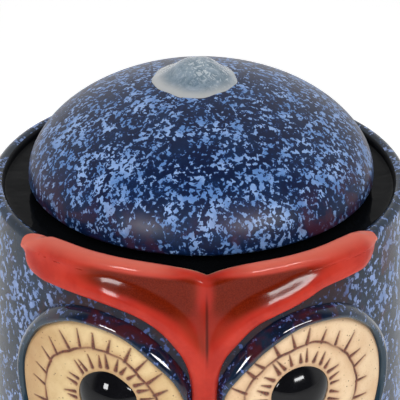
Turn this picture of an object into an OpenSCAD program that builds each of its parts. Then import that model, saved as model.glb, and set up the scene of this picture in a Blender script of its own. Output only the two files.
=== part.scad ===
// Owl table fountain: a glazed ceramic pot in the shape of an owl, with a
// lift-off domed crown. A small submersible pump in the pot pushes water up a
// hose, it wells over the crown and falls into the ring between crown and rim.
// The origin is the centre of the base on the table, +Z is up, the owl faces -Y.

/* [Pot] */
// Height of the rim above the table
rim_z = 300; // [296:1:304]
// Outer radius at the rim
rim_r = 118; // [116:1:120]
// Largest outer radius of the body
belly_r = 126; // [124:1:128]
// Height at which the body is widest
belly_z = 140; // [130:1:150]
// Outer radius of the foot
foot_r = 90; // [88:1:92]
// Thickness of the clay wall
wall = 8; // [7:0.5:8]
// Height of the inside floor
floor_z = 14; // [13:1:15]

/* [Crown dome] */
// Largest radius of the crown
dome_r = 98; // [95:0.5:99]
// Height of the crown's apex above the table
dome_top_z = 361; // [357:1:364]
// Height of the crown's widest circle
dome_mid_z = 301.5; // [300:0.5:303]
// Thickness of the crown's wall
dome_wall = 7; // [6:0.5:8]
// Height of the ledges that the crown stands on
seat_z = 283; // [281:1:285]

/* [Face] */
// Radius of the cream eye discs
eye_r = 49.5; // [48:0.5:50]
// Angle of each eye disc from the front
eye_turn = 28.6; // [28:0.2:29]
// Height of the eye discs
eye_z = 217; // [212:1:220]
// Width of the rolled ring round each eye disc
ring_w = 7; // [5:0.5:7]
// Radius of each pupil
pupil_r = 17.6; // [14:0.2:19]
// Angle of each pupil from the front
pupil_turn = 24; // [23:0.5:27]
// Height of the pupils
pupil_z = 224; // [221:1:228]
// How far the brow stands out from the body
brow_t = 5.5; // [4:0.5:7]

/* [Pump] */
// Width of the pump housing
pump_w = 48; // [44:1:52]
// Height of the pump housing
pump_h = 44; // [40:1:46]
// Length of the motor housing
pump_l = 44; // [40:1:50]
// Radius of the hose's bore
hose_r = 5.05; // [5.05:0.05:5.05]
// Radius of the water outlet's bore
outlet_r = 4; // [3.5:0.25:4]

/* [Hidden] */
$fn = 96;
sides = [-1, 1];
quarters = [45, 135, 225, 315];
steps = 20;                      // straight stretches in the body's outline

felt_t = 2;                      // felt disc under the foot ring
felt_r = foot_r - 3;
base_z = felt_t;                 // underside of the clay
foot_w = 12;                     // width of the foot ring
foot_recess = 5;                 // depth of the recess inside the foot ring
lip_r = wall / 2;                // the rim's rounding
lip_z = rim_z - lip_r;
split_z = base_z + (lip_z - base_z) / steps;  // top of the base, where the wall starts

brow_back_r = rim_r - 6.3;       // the brow laps over the rim to here
nose_z = 186;                    // lower end of the nose
disc_t = 3;                      // how far the eye pieces stand out
ring_t = 6;
pupil_rise = 7;
wing_t = 6;

cord_r = 3;                      // radius of the mains cord's holes
cord_z = 34;                     // height of the cord's way out at the back
boss_r = 15;
boss_y0 = 86;
boss_y1 = 114;

skirt_r = 86;                    // the crown's lower edge
skirt_t = 7;
roll_r = 12.5;                   // the crown's edge, rolled in above the water
roll_h = 4.5;
dome_slope = 1.25;               // above 1, the dome's shoulder is flatter than an ellipse's
crown_hole_r = 8.5;

stem_r = 5;                      // spigots that the hose pushes over
nozzle_r = 6.5;
nozzle_low = 334;
nozzle_top = dome_top_z - 0.5;
stem_top = 346;
hose_t = 1.6;

pump_z0 = floor_z + 6;           // the cups hold the pump off the floor
pump_zc = pump_z0 + pump_h / 2;  // height of the impeller's axis
chamber_r = 16;
chamber_y = 6;                   // half depth of the impeller chamber
cover_y = -10;                   // front face of the chamber's cover
motor_y1 = chamber_y + pump_l;
cover_w = 44;
cover_h = 40;
collar_z = pump_z0 + pump_h + 0.4;  // collar of the pump's spout
hose_z0 = collar_z + 1.6;        // shoulder that the hose ends on
spout_top = hose_z0 + 12;
well_r = 11.5;                   // rotor well in the motor housing
well_y1 = 38;
rotor_r = 10.8;
pin_r = 1.25;                    // impeller shaft
running = 0.05;                  // radial clearance of a running fit
bush_r = 4;
bush_t = 3;
knob_y = -2;

// ---- the body's outline ----

// Outer radius of the pot at height z
function body_r(z) = z > belly_z
    ? belly_r - (belly_r - rim_r) * pow((z - belly_z) / (rim_z - belly_z), 2)
    : belly_r - (belly_r - foot_r) * pow((belly_z - z) / (belly_z - base_z), 2.4);

// Points of the outline, t outside the pot's surface, from z0 up to z1
function outline(z0, z1, t, n) = [
    for (i = [0 : n]) let (z = z0 + (z1 - z0) * i / n) [body_r(z) + t, z]
];

function reversed(list) = [for (i = [len(list) - 1 : -1 : 0]) list[i]];

// Arc of a circle or an ellipse from angle a0 to a1
function arc(r, z, rx, rz, a0, a1, n) = [
    for (i = [0 : n]) let (a = a0 + (a1 - a0) * i / n) [r + rx * cos(a), z + rz * sin(a)]
];

// The pot's wall and rim, from the base up, round the lip and down the inside
module whole_wall() {
    rotate_extrude() polygon(concat(
        outline(split_z, lip_z, -wall, steps - 1),
        arc(rim_r - lip_r, lip_z, lip_r, lip_r, 160, 20, 8),
        reversed(outline(split_z, lip_z, 0, steps - 1))
    ));
}

// The pot's floor, with its foot ring
module pot_base() {
    color("darkslateblue") rotate_extrude() polygon([
        [0, floor_z],
        [body_r(floor_z) - wall - 4, floor_z],
        [body_r(split_z) - wall, split_z],
        [body_r(split_z), split_z],
        [foot_r, base_z],
        [foot_r - foot_w, base_z],
        [foot_r - foot_w - 2, base_z + foot_recess],
        [0, base_z + foot_recess]
    ]);
}

// The body's outer form, filled in and t thicker all round
module core(t) {
    rotate_extrude() polygon(concat(
        [[0, base_z]],
        outline(base_z, lip_z, t, steps),
        [[0, lip_z]]
    ));
}

// A ledge inside the pot, shaped like a bracket, that the crown stands on
module crown_ledge(i) {
    color("darkslateblue") difference() {
        rotate([0, 0, quarters[i]]) rotate([90, 0, 0]) translate([0, 0, -6])
            linear_extrude(12) polygon([
                [76, seat_z],
                [rim_r - 2, seat_z],
                [rim_r + 2, seat_z - 45],
                [76, seat_z - 12]
            ]);
        whole_wall();
        rotate_extrude() polygon(concat(
            outline(split_z, lip_z, -wall / 2, steps - 1),
            [[160, lip_z], [160, split_z]]
        ));
    }
}

module cord_hole() {
    translate([0, boss_y0 - 20, cord_z]) rotate([-90, 0, 0]) cylinder(h = 60, r = 8);
}

// Stretch of the wall that is thickened round the cord's hole
module boss_block() {
    translate([-boss_r - 1, 60, cord_z - boss_r - 1]) cube([2 * boss_r + 2, 80, 2 * boss_r + 2]);
}

// Left or right half of the wall; the two meet at the front and the back
module pot_wall(s) {
    color("darkslateblue") difference() {
        intersection() {
            whole_wall();
            translate([s > 0 ? 0 : -200, -200, 0]) cube([200, 400, rim_z + 10]);
        }
        boss_block();
    }
}

module cord_boss() {
    color("darkslateblue") difference() {
        union() {
            intersection() {
                whole_wall();
                boss_block();
            }
            translate([0, boss_y0, cord_z]) rotate([-90, 0, 0])
                cylinder(h = boss_y1 - boss_y0, r = boss_r);
        }
        cord_hole();
    }
}

// ---- clay pieces laid on the pot ----

// Right-hand half of the brow's outline seen from the front, from the notch
// at the top of the nose, round the outer end and down the nose's edge
brow_half = [
    [0, 301], [6, 303.5], [22, 305.5], [50, 307], [78, 306.5], [90, 304.5],
    [94.5, 299], [92.5, 290], [87, 284.5], [76, 283], [62, 283], [49, 281.5],
    [35, 278], [25.5, 271.5], [17, 263], [11, 254], [8, 245], [6.6, 235],
    [6.4, nose_z], [0, nose_z]
];

module facing_front() {
    rotate([90, 0, 0]) linear_extrude(150) children();
}

module brow_outline() {
    facing_front() polygon(concat(
        brow_half,
        reversed([for (p = brow_half) if (p[0] > 0) [-p[0], p[1]]])
    ));
}

module brow() {
    color("indianred") difference() {
        intersection() {
            rotate_extrude() polygon(concat(
                [[0, base_z]],
                outline(base_z, lip_z, brow_t, steps),
                [[rim_r + 5, 301], [rim_r + 3, 305], [rim_r - 1, 307.5]],
                [[rim_r - 4, 307], [brow_back_r, 304], [0, 304]]
            ));
            brow_outline();
        }
        rotate_extrude() polygon(concat(
            [[0, base_z]],
            outline(base_z, lip_z, 0, steps),
            arc(rim_r - lip_r, lip_z, lip_r, lip_r, 20, 125, 6),
            [[brow_back_r, 320], [0, 320]]
        ));
    }
}

module beak() {
    color("indianred") difference() {
        translate([0, -body_r(nose_z) - 1, nose_z - 36]) {
            cylinder(h = 36, r1 = 2.5, r2 = 9.5);
            sphere(r = 2.5);
        }
        core(0);
    }
}

// Cylinder of radius r whose axis points out of the body at an eye
module outward(s, r) {
    rotate([0, 0, s * eye_turn]) translate([0, -60, eye_z]) rotate([90, 0, 0])
        cylinder(h = 90, r = r);
}

module eye_disc(s) {
    color("wheat") difference() {
        intersection() {
            core(disc_t);
            outward(s, eye_r);
        }
        core(0);
    }
}

module eye_ring(s) {
    color("midnightblue") difference() {
        intersection() {
            core(ring_t);
            outward(s, eye_r + ring_w);
        }
        core(0);
        outward(s, eye_r);
        brow_outline();
    }
}

module pupil(s) {
    ball_r = (pow(pupil_r, 2) + pow(pupil_rise, 2)) / (2 * pupil_rise);
    centre_r = body_r(pupil_z) + disc_t + pupil_rise - ball_r;
    color("black") difference() {
        rotate([0, 0, s * pupil_turn]) translate([0, -centre_r, pupil_z]) sphere(r = ball_r);
        core(disc_t);
    }
}

// Wing: folded along the side, round at the shoulder, its tip down and back
module wing(s) {
    color("darkslateblue") difference() {
        intersection() {
            core(wing_t);
            rotate([0, 0, s * 90]) facing_front() intersection() {
                translate([s * 58, 138]) circle(r = 104);
                translate([-s * 48, 122]) circle(r = 92);
                translate([0, 48]) square([220, 320], center = true);
            }
        }
        core(0);
    }
}

// Foot: three toes that meet under the belly
module foot(s) {
    color("indianred") difference() {
        for (toe = [-1, 0, 1])
            rotate([0, 0, s * 20]) translate([toe * 5, -84, 11]) rotate([0, 0, toe * 16])
                rotate([90, 0, 0]) {
                    cylinder(h = 26, r = 8);
                    translate([0, 0, 26]) sphere(r = 8);
                }
        core(0);
    }
}

module tail() {
    color("darkslateblue") difference() {
        intersection() {
            core(7);
            rotate([0, 0, 180]) facing_front() {
                translate([-26, 90]) square([52, 80]);
                translate([0, 90]) circle(r = 26);
            }
        }
        core(0);
    }
}

// ---- felt and rubber ----

module base_felt() { color("dimgray") cylinder(h = felt_t, r = felt_r); }

module cord_grommet() {
    color("dimgray") translate([0, boss_y0 - 3, cord_z]) rotate([-90, 0, 0]) difference() {
        union() {
            cylinder(h = 3, r = 11);
            cylinder(h = boss_y1 - boss_y0 + 3, r = 8);
            translate([0, 0, boss_y1 - boss_y0 + 3]) cylinder(h = 2, r = 11);
        }
        translate([0, 0, -1]) cylinder(h = 40, r = cord_r);
    }
}

// ---- crown ----

// Profile of the dome from one angle to another, as points of radius and height
function dome_curve(r, h, from, to, n) = [
    for (i = [0:n]) let (a = from + (to - from) * i / n)
        [r * pow(max(cos(a), 0), dome_slope), dome_mid_z + h * sin(a)]
];

module crown_dome() {
    color("steelblue") difference() {
        rotate_extrude() polygon(concat(
            dome_curve(dome_r, dome_top_z - dome_mid_z, 90, 0, 30),
            arc(dome_r - roll_r, dome_mid_z, roll_r, roll_h, -12, -90, 7),
            [[skirt_r, seat_z], [skirt_r - skirt_t, seat_z]],
            [[skirt_r - skirt_t + 0.5, seat_z + 8], [skirt_r - 2, seat_z + 15]],
            dome_curve(dome_r - dome_wall, dome_top_z - dome_mid_z - dome_wall, 8, 90, 24)
        ));
        translate([0, 0, dome_top_z - 20]) cylinder(h = 40, r = crown_hole_r);
    }
}

module nozzle_seal() {
    flange_z = dome_top_z - dome_wall - 1.2;
    color("gainsboro") difference() {
        union() {
            translate([0, 0, flange_z - 3]) cylinder(h = 3, r = 11);
            translate([0, 0, flange_z - 3]) cylinder(h = nozzle_top - flange_z + 2.5, r = crown_hole_r);
        }
        translate([0, 0, flange_z - 10]) cylinder(h = 40, r = nozzle_r);
    }
}

module outlet_nozzle() {
    color("whitesmoke") difference() {
        union() {
            translate([0, 0, nozzle_low]) cylinder(h = 20, r = stem_r);
            translate([0, 0, stem_top]) cylinder(h = nozzle_top - stem_top, r = nozzle_r);
        }
        translate([0, 0, nozzle_low - 1]) cylinder(h = 40, r = outlet_r);
    }
}

// ---- pump and hose ----

module riser_hose() {
    color("lightgray") translate([0, 0, hose_z0]) difference() {
        cylinder(h = stem_top - 0.5 - hose_z0, r = hose_r + hose_t);
        translate([0, 0, -1]) cylinder(h = 400, r = hose_r);
    }
}

// Block with rounded upright edges, standing on z0
module rounded_block(x, y0, y1, z0, h, r) {
    translate([0, 0, z0]) linear_extrude(h) {
        translate([-x / 2 + r, y0]) square([x - 2 * r, y1 - y0]);
        translate([-x / 2, y0 + r]) square([x, y1 - y0 - 2 * r]);
        for (sx = sides, y = [y0 + r, y1 - r]) translate([sx * (x / 2 - r), y]) circle(r = r);
    }
}

// Cylinder along the impeller's axis from y0 to y1
module axial(y0, y1, r) {
    translate([0, y0, pump_zc]) rotate([-90, 0, 0]) cylinder(h = y1 - y0, r = r);
}

module pump_housing() {
    color("darkslategray") difference() {
        rounded_block(pump_w, chamber_y, motor_y1, pump_z0, pump_h, 5);
        axial(chamber_y - 1, well_y1, well_r);
        axial(chamber_y, well_y1 + bush_t, bush_r);
    }
}

module pump_cover() {
    z0 = pump_z0 + 2;
    color("dimgray") difference() {
        union() {
            rounded_block(cover_w, cover_y, chamber_y, z0, cover_h, 3);
            translate([0, 0, collar_z]) cylinder(h = hose_z0 - collar_z, r = 8);
            translate([0, 0, z0]) cylinder(h = spout_top - z0, r = stem_r);
        }
        axial(-chamber_y, chamber_y + 1, chamber_r);
        axial(-chamber_y - bush_t, 0, bush_r);
        translate([0, 0, pump_zc]) cylinder(h = 60, r = outlet_r);
        for (turn = [0 : 60 : 300])
            translate([0, cover_y - 1, pump_zc]) rotate([-90, 0, 0]) rotate([0, 0, turn])
                translate([9, 0, 0]) cylinder(h = 8, r = 3);
        translate([cover_w / 2 - 5, knob_y, pump_zc]) rotate([0, 90, 0])
            cylinder(h = 20, r = 2 + running);
    }
}

module cable_gland() {
    color("black") translate([0, motor_y1, cord_z]) rotate([-90, 0, 0]) difference() {
        cylinder(h = 8, r = 6);
        translate([0, 0, 1]) cylinder(h = 20, r = cord_r);
    }
}

module shaft_bush(y0) {
    color("silver") difference() {
        axial(y0, y0 + bush_t, bush_r);
        axial(y0 - 1, y0 + bush_t + 1, pin_r);
    }
}

module impeller_shaft() {
    color("gainsboro") axial(-chamber_y - bush_t, well_y1 + bush_t, pin_r);
}

// Magnet rotor with a bladed wheel at its front end
module impeller() {
    color("whitesmoke") difference() {
        union() {
            axial(chamber_y + 1, well_y1 - 1, rotor_r);
            axial(2, chamber_y + 1, 10);
            axial(-4, 3, bush_r);
            for (turn = [0 : 60 : 300])
                translate([0, 3, pump_zc]) rotate([90, 0, 0]) rotate([0, 0, turn])
                    translate([1, -0.8, -1]) cube([12.5, 1.6, 8]);
        }
        axial(-20, 80, pin_r + running);
    }
}

module strainer() {
    depth = 13;
    y0 = cover_y - 0.2 - depth;
    color("dimgray") difference() {
        rounded_block(cover_w, y0, y0 + depth, pump_z0 + 2, cover_h, 3);
        translate([-cover_w / 2 + 2, y0 + 2, pump_z0 + 4])
            cube([cover_w - 4, depth, cover_h - 4]);
        for (x = [-16 : 4 : 16])
            translate([x - 1, y0 - 1, pump_z0 + 8]) cube([2, 4, cover_h - 12]);
    }
}

module flow_knob() {
    x0 = cover_w / 2 + 0.2;
    color("orangered") translate([0, knob_y, pump_zc]) rotate([0, 90, 0]) {
        translate([0, 0, x0]) cylinder(h = 4, r = 6);
        translate([0, 0, x0 - 4.5]) cylinder(h = 5, r = 2);
        translate([-9, -1.2, x0 + 1]) cube([9, 2.4, 3]);
    }
}

module suction_cup(i) {
    x = (i % 2 == 0 ? -1 : 1) * (pump_w / 2 - 9);
    y = i < 2 ? chamber_y + 9 : motor_y1 - 9;
    color("black") translate([x, y, floor_z]) cylinder(h = pump_z0 - floor_z, r1 = 8, r2 = 4);
}

pot_wall(-1);  // pot_wall_left
pot_wall(1);  // pot_wall_right
cord_boss();
pot_base();
crown_ledge(0);  // crown_ledge_1
crown_ledge(1);  // crown_ledge_2
crown_ledge(2);  // crown_ledge_3
crown_ledge(3);  // crown_ledge_4
brow();
beak();
eye_disc(-1);  // eye_disc_left
eye_disc(1);  // eye_disc_right
eye_ring(-1);  // eye_ring_left
eye_ring(1);  // eye_ring_right
pupil(-1);  // pupil_left
pupil(1);  // pupil_right
wing(-1);  // wing_left
wing(1);  // wing_right
foot(-1);  // foot_left
foot(1);  // foot_right
tail();
base_felt();
cord_grommet();
crown_dome();
nozzle_seal();
outlet_nozzle();
riser_hose();
pump_housing();
pump_cover();
cable_gland();
shaft_bush(well_y1);  // shaft_bush_rear
shaft_bush(-chamber_y - bush_t);  // shaft_bush_front
impeller_shaft();
impeller();
strainer();
flow_knob();
suction_cup(0);  // suction_cup_1
suction_cup(1);  // suction_cup_2
suction_cup(2);  // suction_cup_3
suction_cup(3);  // suction_cup_4
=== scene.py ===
"""Looks of an owl table fountain: a glazed clay pot with a face, and a wet domed crown."""

import math

import bpy
import numpy as np
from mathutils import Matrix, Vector, noise


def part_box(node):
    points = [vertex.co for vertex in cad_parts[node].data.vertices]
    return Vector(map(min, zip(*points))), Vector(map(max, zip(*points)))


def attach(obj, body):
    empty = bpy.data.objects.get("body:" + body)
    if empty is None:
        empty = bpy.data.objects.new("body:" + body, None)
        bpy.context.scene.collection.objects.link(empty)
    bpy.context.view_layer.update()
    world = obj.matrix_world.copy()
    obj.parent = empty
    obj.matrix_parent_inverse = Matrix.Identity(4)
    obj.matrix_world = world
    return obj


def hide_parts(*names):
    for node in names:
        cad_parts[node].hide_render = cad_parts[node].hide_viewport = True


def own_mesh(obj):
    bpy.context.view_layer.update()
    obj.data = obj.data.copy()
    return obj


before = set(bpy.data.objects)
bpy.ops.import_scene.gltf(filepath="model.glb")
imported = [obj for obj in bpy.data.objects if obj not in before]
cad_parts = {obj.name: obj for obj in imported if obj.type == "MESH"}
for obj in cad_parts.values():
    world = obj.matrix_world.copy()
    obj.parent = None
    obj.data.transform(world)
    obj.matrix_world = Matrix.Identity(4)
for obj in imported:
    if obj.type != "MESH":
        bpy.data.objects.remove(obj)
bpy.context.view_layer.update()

# ---- sizes, in millimetres, in the frame of the CAD model ----
MM = 0.001
pot_low = np.array(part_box("pot_wall_left")[0]) / MM
pot_high = np.array(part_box("pot_wall_right")[1]) / MM
dome_low, dome_high = (np.array(corner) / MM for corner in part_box("crown_dome"))
base_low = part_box("pot_base")[0][2] / MM
RIM_Z = pot_high[2]
BELLY_R = (pot_high[0] - pot_low[0]) / 2
BELLY_Z = 140.0
RIM_R = 118.0
FOOT_R = 90.0
WALL = 8.0
FLOOR_Z = 14.0
LIP_R = WALL / 2
LIP_Z = RIM_Z - LIP_R
WATER_Z = RIM_Z - 6.0
DOME_R = (dome_high[0] - dome_low[0]) / 2
DOME_TOP = dome_high[2]
DOME_MID = 301.5
DOME_SLOPE = 1.25             # above 1, the shoulder is flatter than an ellipse's
CROWN_SHIFT = 1.2             # the crown sits a little to one side
ROLL_R = 12.5
ROLL_H = 4.5
SEAT_Z = dome_low[2]

EYE_R = 49.5
EYE_TURN = math.radians(28.6)
EYE_Z = 217.0
RING_OUT = 57.0
DISC_T = 3.0
IRIS_R = 34.5
# The carved ring's centre in the left and right eye, towards the nose and up
IRIS_SHIFT = {-1: (-3.9, 0.0), 1: (-7.4, 2.0)}
PUPIL_R = 17.6
PUPIL_TURN = math.radians(24.0)
PUPIL_Z = {-1: 222.8, 1: 224.6}
PUPIL_RISE = 7.0
NOSE_Z = 186.0
NOSE_HALF_TURN = math.radians(3.4)
NOTCH_X = 1.6                 # the notch in the brow's top edge, off the middle
NOTCH_DIP = 3.0
FACE_R = 120.0                # radius that widths seen from the front are wrapped round


def body_r(z):
    """Outer radius of the pot at height z."""
    z = np.asarray(z, float)
    up = BELLY_R - (BELLY_R - RIM_R) * ((z - BELLY_Z) / (RIM_Z - BELLY_Z)) ** 2
    low = np.clip((BELLY_Z - z) / (BELLY_Z - base_low), 0, 1)
    down = BELLY_R - (BELLY_R - FOOT_R) * low ** 2.4
    return np.where(z > BELLY_Z, up, down)


def on_body(turn, along, rise):
    """Point on the pot: turn round it, along its wall and over its lip, rise above the surface."""
    turn, along, rise = np.broadcast_arrays(*(np.asarray(v, float) for v in (turn, along, rise)))
    z = np.minimum(along, LIP_Z)
    r = body_r(z)
    slope = (body_r(z + 0.5) - body_r(z - 0.5))
    size = np.sqrt(1 + slope ** 2)
    over = np.maximum(along - LIP_Z, 0) / LIP_R
    lip = over > 0
    nr = np.where(lip, np.cos(over), 1 / size)
    nz = np.where(lip, np.sin(over), -slope / size)
    r = np.where(lip, r - LIP_R + LIP_R * np.cos(over), r) + rise * nr
    z = np.where(lip, z + LIP_R * np.sin(over), z) + rise * nz
    return at_turn(r, turn, z)


def at_turn(r, turn, z):
    """Point at radius r and height z, at a turn round the pot from its face."""
    return np.stack([r * np.sin(turn), -r * np.cos(turn), z], -1)


def dip(points):
    """Lower the lip and brow a little at the notch over the nose."""
    gap = np.sqrt((points[..., 0] - NOTCH_X) ** 2 + 1) - 1
    low = NOTCH_DIP * np.exp(-gap / 11) * smooth(272, 300, points[..., 2])
    out = points.copy()
    out[..., 2] -= low * (points[..., 1] < 0)
    return out


def smooth(a, b, x):
    """Smooth step from 0 at a to 1 at b."""
    t = np.clip((np.asarray(x, float) - a) / (b - a), 0, 1)
    return t * t * (3 - 2 * t)


def bell(x):
    """Bell curve of height 1 round 0."""
    return np.exp(-x ** 2)


def wobble(points, size, amount, seed):
    """Low soft noise at each point: size is the length of a swell in millimetres."""
    shift = Vector((seed * 17.3, seed * 5.1, seed * 9.7))
    flat = points.reshape(-1, 3)
    out = [noise.noise(Vector(p) / size + shift) for p in flat]
    return amount * np.array(out).reshape(points.shape[:-1])


def round_swell(points, skip, passes, size, amount, seed):
    """Soft noise round a revolved form, taken at every skip-th turn and then smoothed."""
    swell = wobble(points[:, ::skip], size, amount, seed)
    swell = np.repeat(swell, skip, axis=1)[:, :points.shape[1]]
    for _ in range(passes):
        swell = (swell + np.roll(swell, 1, 1) + np.roll(swell, -1, 1)) / 3
    return swell


# ---- meshes ----

def grid_faces(rows, cols, wrap=False, flip=False):
    """Quads of a grid of rows by cols points; wrap joins the last column to the first."""
    last = cols if wrap else cols - 1
    i, j = np.meshgrid(np.arange(rows - 1), np.arange(last), indexing="ij")
    k = (j + 1) % cols
    quads = np.stack([i * cols + j, i * cols + k, (i + 1) * cols + k, (i + 1) * cols + j], -1)
    quads = quads.reshape(-1, 4)
    return quads[:, ::-1] if flip else quads


def piece(name, points, faces, material, body="pot_body", marks=None, join=0.0):
    """Smooth mesh object from points in millimetres; marks are named values on its points.

    Points closer than join, such as those on the axis or at a seam, become one.
    """
    mesh = bpy.data.meshes.new(name)
    points = np.asarray(points, float).reshape(-1, 3) * MM
    mesh.from_pydata(points.tolist(), [], [list(map(int, f)) for f in faces])
    mesh.update()
    mesh.polygons.foreach_set("use_smooth", [True] * len(mesh.polygons))
    for mark, values in (marks or {}).items():
        layer = mesh.attributes.new(mark, "FLOAT", "POINT")
        layer.data.foreach_set("value", np.asarray(values, float).ravel().astype(np.float32))
    mesh.materials.append(material)
    made = bpy.data.objects.new(name, mesh)
    bpy.context.collection.objects.link(made)
    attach(made, body)
    if join:
        merge(made, join)
    return made


def angles(count):
    """Evenly spaced angles once round."""
    return np.linspace(0, 2 * math.pi, count, endpoint=False)


def polar(rings, turns):
    """Shares of the way out, as rows, and angles round, as columns, of a round patch."""
    return np.linspace(0, 1, rings)[:, None], angles(turns)[None, :]


def revolve(name, outline, turns, material, body="pot_body", marks=None, shape=None,
            join=0.02):
    """Surface of revolution from an outline of (radius, height), drawn counter-clockwise."""
    outline = np.asarray(outline, float)
    turn = angles(turns)
    r = outline[:, 0][:, None]
    z = np.broadcast_to(outline[:, 1][:, None], (len(outline), turns))
    points = at_turn(r, turn, z)
    if shape is not None:
        points = shape(points)
    faces = grid_faces(len(outline), turns, wrap=True)
    return piece(name, points, faces, material, body, marks, join)


def merge(made, distance):
    """Join points that meet, and turn every face outwards."""
    import bmesh
    bm = bmesh.new()
    bm.from_mesh(made.data)
    bmesh.ops.remove_doubles(bm, verts=bm.verts, dist=distance * MM)
    bmesh.ops.recalc_face_normals(bm, faces=bm.faces)
    bm.to_mesh(made.data)
    bm.free()
    made.data.update()
    return made


# ---- materials ----

def srgb(r, g, b):
    """Linear colour with alpha from eight-bit sRGB values."""
    shares = (v / 255 for v in (r, g, b))
    return (*(v / 12.92 if v <= 0.04045 else ((v + 0.055) / 1.055) ** 2.4 for v in shares), 1.0)


class Shader:
    """A node material being put together."""

    def __init__(self, name, **values):
        self.material = bpy.data.materials.new(name)
        self.material.use_nodes = True
        self.tree = self.material.node_tree
        self.bsdf = self.tree.nodes["Principled BSDF"]
        self.coords = self.tree.nodes.new("ShaderNodeTexCoord").outputs["Object"]
        for socket, value in values.items():
            self.bsdf.inputs[socket.replace("_", " ")].default_value = value

    def node(self, kind, inputs=None, **options):
        made = self.tree.nodes.new("ShaderNode" + kind)
        for key, value in options.items():
            setattr(made, key, value)
        for key, value in (inputs or {}).items():
            if isinstance(value, bpy.types.NodeSocket):
                self.tree.links.new(value, made.inputs[key])
            else:
                made.inputs[key].default_value = value
        return made

    def stretched(self, scale):
        return self.node("Mapping", {"Vector": self.coords, "Scale": scale}).outputs[0]

    def noise(self, scale, detail=4.0, rough=0.55, bend=0.0, vector=None):
        return self.node("TexNoise", {
            "Vector": vector or self.coords, "Scale": scale, "Detail": detail,
            "Roughness": rough, "Distortion": bend}).outputs[0]

    def cells(self, scale):
        return self.node("TexVoronoi", {"Vector": self.coords, "Scale": scale}).outputs["Distance"]

    def times(self, a, b):
        return self.node("Math", {0: a, 1: b}, operation="MULTIPLY").outputs[0]

    def plus(self, a, b):
        return self.node("Math", {0: a, 1: b}, operation="ADD").outputs[0]

    def step(self, value, low, high, to_low=0.0, to_high=1.0):
        return self.node("MapRange", {
            "Value": value, "From Min": low, "From Max": high, "To Min": to_low, "To Max": to_high},
            interpolation_type="SMOOTHSTEP").outputs[0]

    def mix(self, factor, a, b):
        """Blend of two colours, each a socket or eight-bit sRGB values."""
        a, b = (srgb(*v) if isinstance(v, tuple) else v for v in (a, b))
        return self.node("Mix", {0: factor, 6: a, 7: b}, data_type="RGBA").outputs[2]

    def fade(self, value, low, high, a, b):
        """Colour a below low, colour b above high."""
        return self.mix(self.step(value, low, high), a, b)

    def mark(self, name):
        return self.node("Attribute", attribute_name=name, attribute_type="GEOMETRY").outputs["Fac"]

    def to(self, socket, value):
        self.tree.links.new(value, self.bsdf.inputs[socket])

    def rough(self, value, low, high):
        self.to("Roughness", self.step(value, 0.3, 0.8, low, high))

    def bump(self, height, strength, depth, socket="Normal"):
        inputs = {"Height": height, "Strength": strength, "Distance": depth}
        self.to(socket, self.node("Bump", inputs).outputs[0])


def speckled(mat, run, dark, mid, speck, edge, size=1.0):
    """Colour, speck mask and noise of the mottled glaze; run stretches the specks downwards."""
    flow = mat.stretched((1.0, 1.0, run))
    broad = mat.noise(38 / size, 2.0, 0.5, 0.3)
    clump = mat.noise(150 / size, 2.0, 0.55, 0.4, flow)
    flake = mat.noise(430 / size, 2.5, 0.6, 0.4, flow)
    level = mat.times(clump, 0.30)
    level = mat.plus(level, mat.times(flake, 0.55))
    level = mat.plus(level, mat.times(broad, 0.15))
    specks = mat.step(level, edge, edge + 0.022)
    halo = mat.step(level, edge - 0.05, edge + 0.01)
    tint = mat.noise(90, 3.0, 0.5)
    bright = mat.fade(tint, 0.35, 0.7, speck[0], speck[1])
    under = mat.fade(mat.noise(60, 4.0, 0.6), 0.38, 0.68, dark[0], dark[1])
    colour = mat.mix(mat.times(halo, 0.6), under, mid)
    return mat.mix(specks, colour, bright), specks, level


def glaze_body():
    """The pot's mottled blue glaze: runny specks, rust where it thins over carving, and painted
    shade in the carved grooves.
    """
    mat = Shader("glaze_body", Coat_Weight=0.1, Coat_Roughness=0.05, Specular_IOR_Level=0.16)
    colour, specks, level = speckled(
        mat, 0.8, ((26, 38, 50), (36, 52, 70)), (46, 66, 108),
        ((104, 130, 178), (142, 164, 212)), 0.534, 1.3)
    rust = mat.step(mat.noise(38, 4.0, 0.6, 0.6), 0.54, 0.66)
    near = mat.times(rust, mat.mark("face"))
    near_face = mat.fade(mat.noise(60, 4.0, 0.6, 0.5), 0.42, 0.6, (14, 17, 36),
                           (44, 16, 20))
    near_face = mat.fade(level, 0.56, 0.58, near_face, (52, 72, 130))
    colour = mat.mix(mat.times(near, 0.75), colour, (74, 40, 44))
    colour = mat.mix(mat.mark("shade"), colour, near_face)
    # Painted shade: the carved grooves are darkened so the relief reads.
    colour = mat.mix(mat.times(mat.mark("painted_groove_shade"), 0.8), colour, (14, 20, 34))
    mat.to("Base Color", colour)
    mat.rough(mat.noise(120, 3.0), 0.08, 0.2)
    mat.bump(mat.plus(mat.times(specks, 0.25), mat.noise(160, 2.0)),
                0.16, 0.0006)
    return mat.material


def glaze_crown():
    """The crown's glaze under a running film of water."""
    mat = Shader("glaze_crown", Coat_Weight=0.55, Coat_Roughness=0.36, Coat_IOR=1.33,
                    Specular_IOR_Level=0.06)
    colour, _, _ = speckled(
        mat, 0.85, ((3, 20, 56), (8, 34, 70)), (22, 56, 110),
        ((90, 130, 188), (142, 172, 220)), 0.524, 1.0)
    rust = mat.step(mat.noise(42, 4.0, 0.6, 0.6), 0.47, 0.6)
    near = mat.times(rust, mat.mark("edge"))
    colour = mat.mix(mat.times(near, 0.7), colour, (78, 34, 48))
    mat.to("Base Color", colour)
    mat.rough(mat.noise(90, 3.0), 0.42, 0.54)
    film = mat.noise(70, 3.0, 0.5, 0.8, mat.stretched((1.0, 1.0, 0.35)))
    mat.bump(mat.times(film, mat.mark("film")), 0.5, 0.002, "Coat Normal")
    return mat.material


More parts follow.
